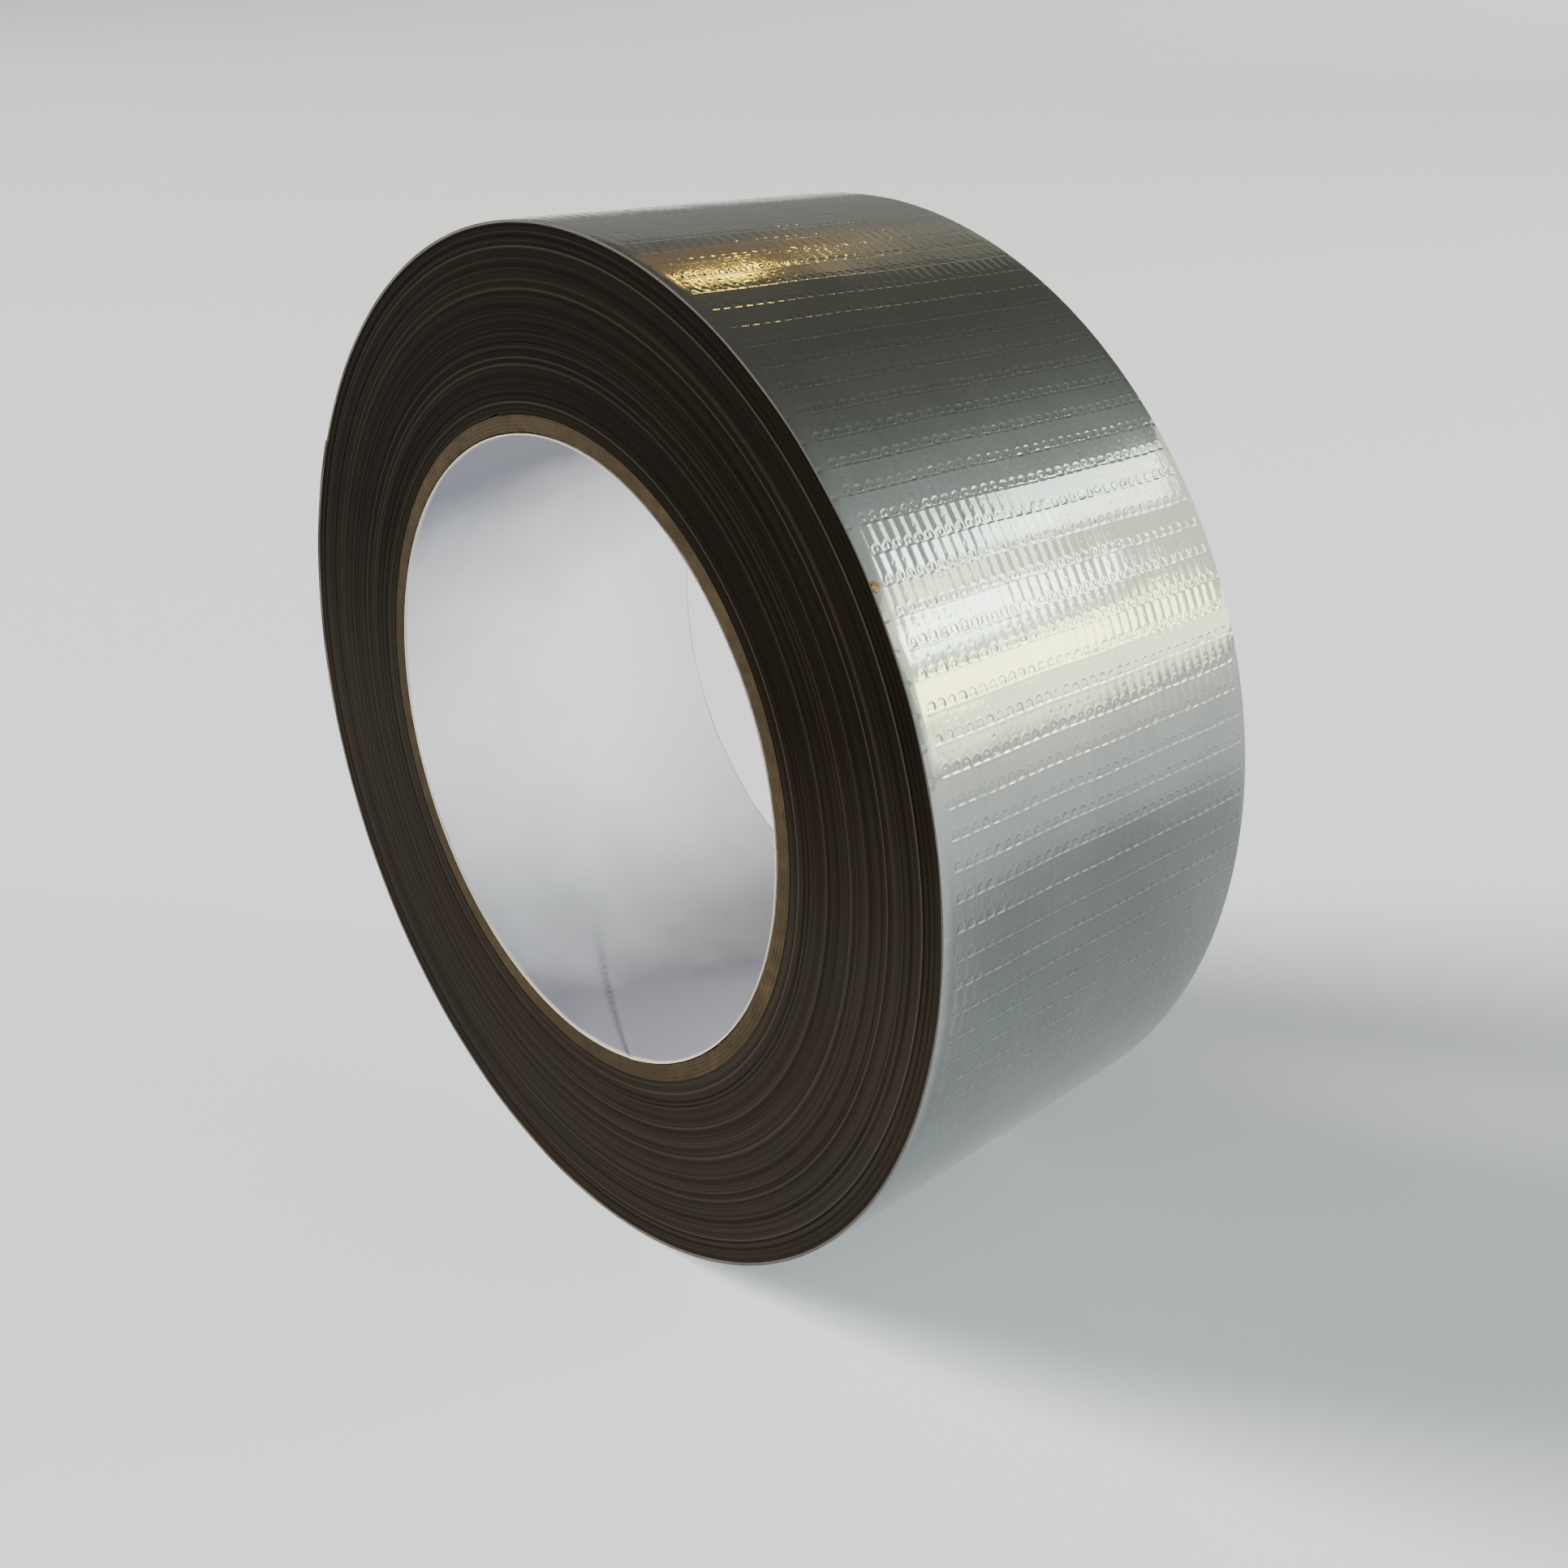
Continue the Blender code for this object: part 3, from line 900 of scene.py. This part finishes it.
SEAM_LEAD = 120 * MM
SEAM_ANGLE = radians(-75.0)
LINER_ROWS = 96
LINER_BACK_STEP = 10
LINER_END = HALF_WIDTH - 0.20 * MM
LINER_CROWDING = 1.45
LINER_ROUNDING = 0.14 * MM
LINER_FRAYING = 0.05 * MM
LAP_HEIGHT = 0.16 * MM
LAP_RISE = 0.30 * MM
LAP_LENGTH = 11 * MM
HOLLOW_DEPTH = 0.05 * MM
CREASE_DEPTH = 0.16 * MM
CREASE_ANGLE = radians(230.0)
CREASE_ACROSS = 20 * MM


def seam_distance(angle, across):
    """How far round the bore each place lies from the liner's slanted seam, in metres."""
    seam = SEAM_ANGLE - tau * (across + CORE_HALF) / SEAM_LEAD
    turned = (angle - seam + pi) % tau - pi
    return turned * BORE_RADIUS


def build_liner(materials):
    """The white liner: one paper strip wound on a slant, its edge lapped over its own start. Its
    rows are crowded towards the two ends, and its hidden outer face has few of them."""
    angles = np.linspace(0, tau, CORE_SAMPLES, endpoint=False)[:, None]
    crowded = np.sin(np.linspace(-1, 1, LINER_ROWS) * LINER_CROWDING)[None, :]
    across = LINER_END * crowded / sin(LINER_CROWDING)
    from_seam = -seam_distance(angles, across)
    lap = LAP_HEIGHT * ramp(from_seam, -LAP_RISE, 0.0) * (1 - ramp(from_seam, 0.0, LAP_LENGTH))
    hollow = HOLLOW_DEPTH * bump(from_seam + 1.0 * MM, 0.8 * MM)
    to_end = LINER_END - np.abs(across)
    crease_place = np.hypot((angles - CREASE_ANGLE) * BORE_RADIUS, (across - CREASE_ACROSS) * 1.3)
    crease = CREASE_DEPTH * np.sin(crease_place / (0.8 * MM)) * bump(crease_place, 3.4 * MM)
    swell = 0.05 * MM * np.sin(angles * 3 + across / (14 * MM))
    swell += 0.03 * MM * np.sin(angles * 7 - across / (9 * MM))
    rounding = LINER_ROUNDING * (1 - ramp(to_end, 0, 0.35 * MM))
    frayed = LINER_FRAYING * wander(angles, 0.05, 8) * (1 - ramp(to_end, 0, 0.5 * MM))
    inner = BORE_RADIUS - lap + hollow - crease + swell * ramp(to_end, 0, 6 * MM) + rounding + frayed
    back = np.append(np.arange(0, LINER_ROWS - 1, LINER_BACK_STEP), LINER_ROWS - 1)[::-1]
    outer = np.maximum(BOARD_RADIUS - 0.02 * MM, inner[:, back] + 0.12 * MM)
    radii = np.concatenate([inner, outer], axis=1)
    both = np.concatenate([across, across[:, back]], axis=1) + np.zeros_like(radii)
    liner = ring_solid("liner_paper_tube", radii[:, ::-1], both[:, ::-1], materials["liner"])
    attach(liner, "roll")
    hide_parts("core_liner")


# ---------------------------------------------------------------- camera, floor and lights
CAMERA_PLACE = (156.2 * MM, -123.6 * MM, 81.5 * MM)
# Degrees: below the level, and from +Y towards -X
CAMERA_DOWN = 17.34
CAMERA_TURN = 47.2
CAMERA_LENS = 38.39
CAMERA_SHIFT = (-0.0378, -0.1459)


def add_camera():
    """The photographer stands in front of the roll, to its right, a little above it."""
    camera = bpy.data.objects.new("camera", bpy.data.cameras.new("camera"))
    camera.location = CAMERA_PLACE
    camera.rotation_euler = (radians(90 - CAMERA_DOWN), 0, radians(CAMERA_TURN))
    camera.data.lens = CAMERA_LENS
    camera.data.shift_x, camera.data.shift_y = CAMERA_SHIFT
    camera.data.clip_start = 0.01
    camera.data.clip_end = 100
    bpy.context.scene.collection.objects.link(camera)
    bpy.context.scene.camera = camera


FLOOR_FACETS = 360
# Distance from the roll and height, in metres
FLOOR_RISE = ((1.0, 0.0), (6.0, 0.0), (7.0, 0.05), (8.0, 0.2), (9.0, 0.5), (10.0, 1.1))


def add_floor():
    """A wide pale floor that curves up into a low wall far away."""
    angles = np.arange(FLOOR_FACETS) / FLOOR_FACETS * tau
    points = [(0, 0, FLOOR_HEIGHT)]
    for radius, height in FLOOR_RISE:
        level = np.full(FLOOR_FACETS, FLOOR_HEIGHT + height)
        points.extend(zip(radius * np.cos(angles), radius * np.sin(angles), level))
    index = np.arange(FLOOR_FACETS * len(FLOOR_RISE)).reshape(-1, FLOOR_FACETS) + 1
    ahead = np.roll(index, -1, axis=1)
    middle = np.stack([np.zeros(FLOOR_FACETS, int), index[0], ahead[0]], axis=1)
    rings = quads(index[:-1], index[1:], ahead[1:], ahead[:-1])
    floor = make_piece("floor", make_mesh("floor", np.array(points), [middle, rings]), floor_material())


LIGHT_DISTANCE = 2.0
# Bearing from +Y towards +X, and height above the floor
WINDOW_GLOW = (radians(45), radians(20))
# Bearing from -X towards -Y, and height above the floor
KEY_DIRECTION = (radians(40), radians(24))
KEY_STRENGTH = 9.0
KEY_SOFTNESS = radians(22)


def add_panel(name, bearing, height, wide, tall, radiance, colour=(1, 1, 1), turned=0.0):
    """A soft panel that faces the roll. bearing is degrees from +Y towards +X, height is degrees
    above the floor, wide and tall are degrees across, turned is its tilt in its own plane."""
    size = [2 * LIGHT_DISTANCE * np.tan(radians(part / 2)) for part in (wide, tall)]
    light = bpy.data.lights.new(name, "AREA")
    light.shape = "RECTANGLE"
    light.size, light.size_y = size
    light.energy = radiance * 4 * size[0] * size[1]
    light.color = colour
    lamp = bpy.data.objects.new(name, light)
    level = cos(radians(height)) * LIGHT_DISTANCE
    lamp.location = (
        level * sin(radians(bearing)), level * cos(radians(bearing)), LIGHT_DISTANCE * sin(radians(height)),
    )
    facing = (-lamp.location).to_track_quat("-Z", "Y").to_matrix().to_4x4()
    lamp.rotation_euler = (facing @ Matrix.Rotation(radians(turned), 4, "Z")).to_euler()
    bpy.context.scene.collection.objects.link(lamp)


def add_lights():
    """The panes of a window behind the roll, to its right, a thin gold strip and two faint glows
    behind it, to its left, fills for the bore, the side and the front, and a soft key light low at
    the front left, which throws the roll's shadow back and to the right."""
    add_panel("window", 36, 15, 40, 30, 1.4, (0.95, 1.0, 0.62))
    add_panel("window_top", 32.3, 30.0, 8.6, 8.2, 4.6, (0.88, 1.0, 0.84), turned=-39)
    add_panel("pane_top", 38, 30.5, 5, 4.5, 5.0, (0.80, 1.0, 0.90), turned=-39)
    add_panel("pane_warm", 42, 26, 6, 4, 4.0, (1.0, 0.92, 0.60), turned=-30)
    add_panel("pane_middle", 44, 20, 9, 6, 10.0, (0.84, 1.0, 0.82))
    add_panel("pane_low", 45, 11, 12, 7, 9.0, (1.0, 0.98, 0.42))
    add_panel("pane_floor", 37, 4, 28, 6, 2.0, (1.0, 0.97, 0.50))
    add_panel("gold_strip", -37.9, 40.2, 4.0, 1.0, 42.0, (1.0, 0.68, 0.05), turned=38)
    add_panel("brown_glow", -40.0, 37.3, 12, 13, 0.19, (1.0, 0.52, 0.14), turned=38)
    add_panel("olive_glow", -31.0, 33.5, 10, 13, 0.14, (1.0, 0.98, 0.70), turned=38)
    add_panel("bore_fill", 125, 11, 22, 16, 17.0, (0.94, 0.95, 1.0))
    add_panel("side_fill", 98, 19, 30, 24, 1.8, (0.58, 0.74, 1.0))
    add_panel("front_fill", 165, 55, 60, 40, 0.5, (0.60, 0.76, 1.0))
    sun = bpy.data.lights.new("key", "SUN")
    sun.energy = KEY_STRENGTH
    sun.angle = KEY_SOFTNESS
    sun.color = (1.0, 0.962, 0.885)
    lamp = bpy.data.objects.new("key", sun)
    bearing, height = KEY_DIRECTION
    towards = Vector((-cos(bearing) * cos(height), -sin(bearing) * cos(height), sin(height)))
    lamp.rotation_euler = towards.to_track_quat("Z", "Y").to_euler()
    bpy.context.scene.collection.objects.link(lamp)


def colour_ramp(tree, value, stops):
    """A colour ramp through the given (position, colour) stops."""
    ramp_node = tree.nodes.new("ShaderNodeValToRGB")
    elements = ramp_node.color_ramp.elements
    for element, (position, colour) in zip((elements[0], elements[1]), (stops[0], stops[-1])):
        element.position = position
        element.color = (*colour, 1)
    for position, colour in stops[1:-1]:
        elements.new(position).color = (*colour, 1)
    tree.links.new(value, ramp_node.inputs[0])
    return ramp_node.outputs[0]


def set_world():
    """A plain grey studio: pale walls under a darker ceiling, and a soft glow round the window."""
    world = bpy.data.worlds.new("studio")
    bpy.context.scene.world = world
    world.use_nodes = True
    tree = world.node_tree
    direction = tree.nodes.new("ShaderNodeTexCoord").outputs["Generated"]
    split = tree.nodes.new("ShaderNodeSeparateXYZ")
    tree.links.new(direction, split.inputs[0])
    room = colour_ramp(tree, split.outputs["Z"], (
        (0.05, (0.27, 0.27, 0.25)), (0.42, (0.39, 0.387, 0.35)), (0.52, (0.19, 0.185, 0.155)),
    ))
    closeness = tree.nodes.new("ShaderNodeVectorMath")
    closeness.operation = "DOT_PRODUCT"
    tree.links.new(direction, closeness.inputs[0])
    bearing, height = WINDOW_GLOW
    closeness.inputs[1].default_value = (
        sin(bearing) * cos(height), cos(bearing) * cos(height), sin(height),
    )
    glow = colour_ramp(tree, closeness.outputs["Value"], (
        (0.62, (0.0, 0.0, 0.0)), (0.77, (0.07, 0.08, 0.075)), (0.85, (0.21, 0.24, 0.225)),
        (0.90, (0.42, 0.48, 0.45)), (0.94, (0.72, 0.80, 0.75)),
    ))
    both = tree.nodes.new("ShaderNodeVectorMath")
    both.operation = "ADD"
    tree.links.new(room, both.inputs[0])
    tree.links.new(glow, both.inputs[1])
    tree.links.new(both.outputs[0], tree.nodes["Background"].inputs[0])


# ---------------------------------------------------------------- the whole scene
def main():
    add_camera()
    materials = make_materials()
    build_wound_turns(materials)
    build_below_tail(materials)
    build_last_turn(materials)
    build_glue_bead(materials)
    build_tail(materials)
    build_core_board(materials)
    build_liner(materials)
    add_floor()
    add_lights()
    set_world()


main()
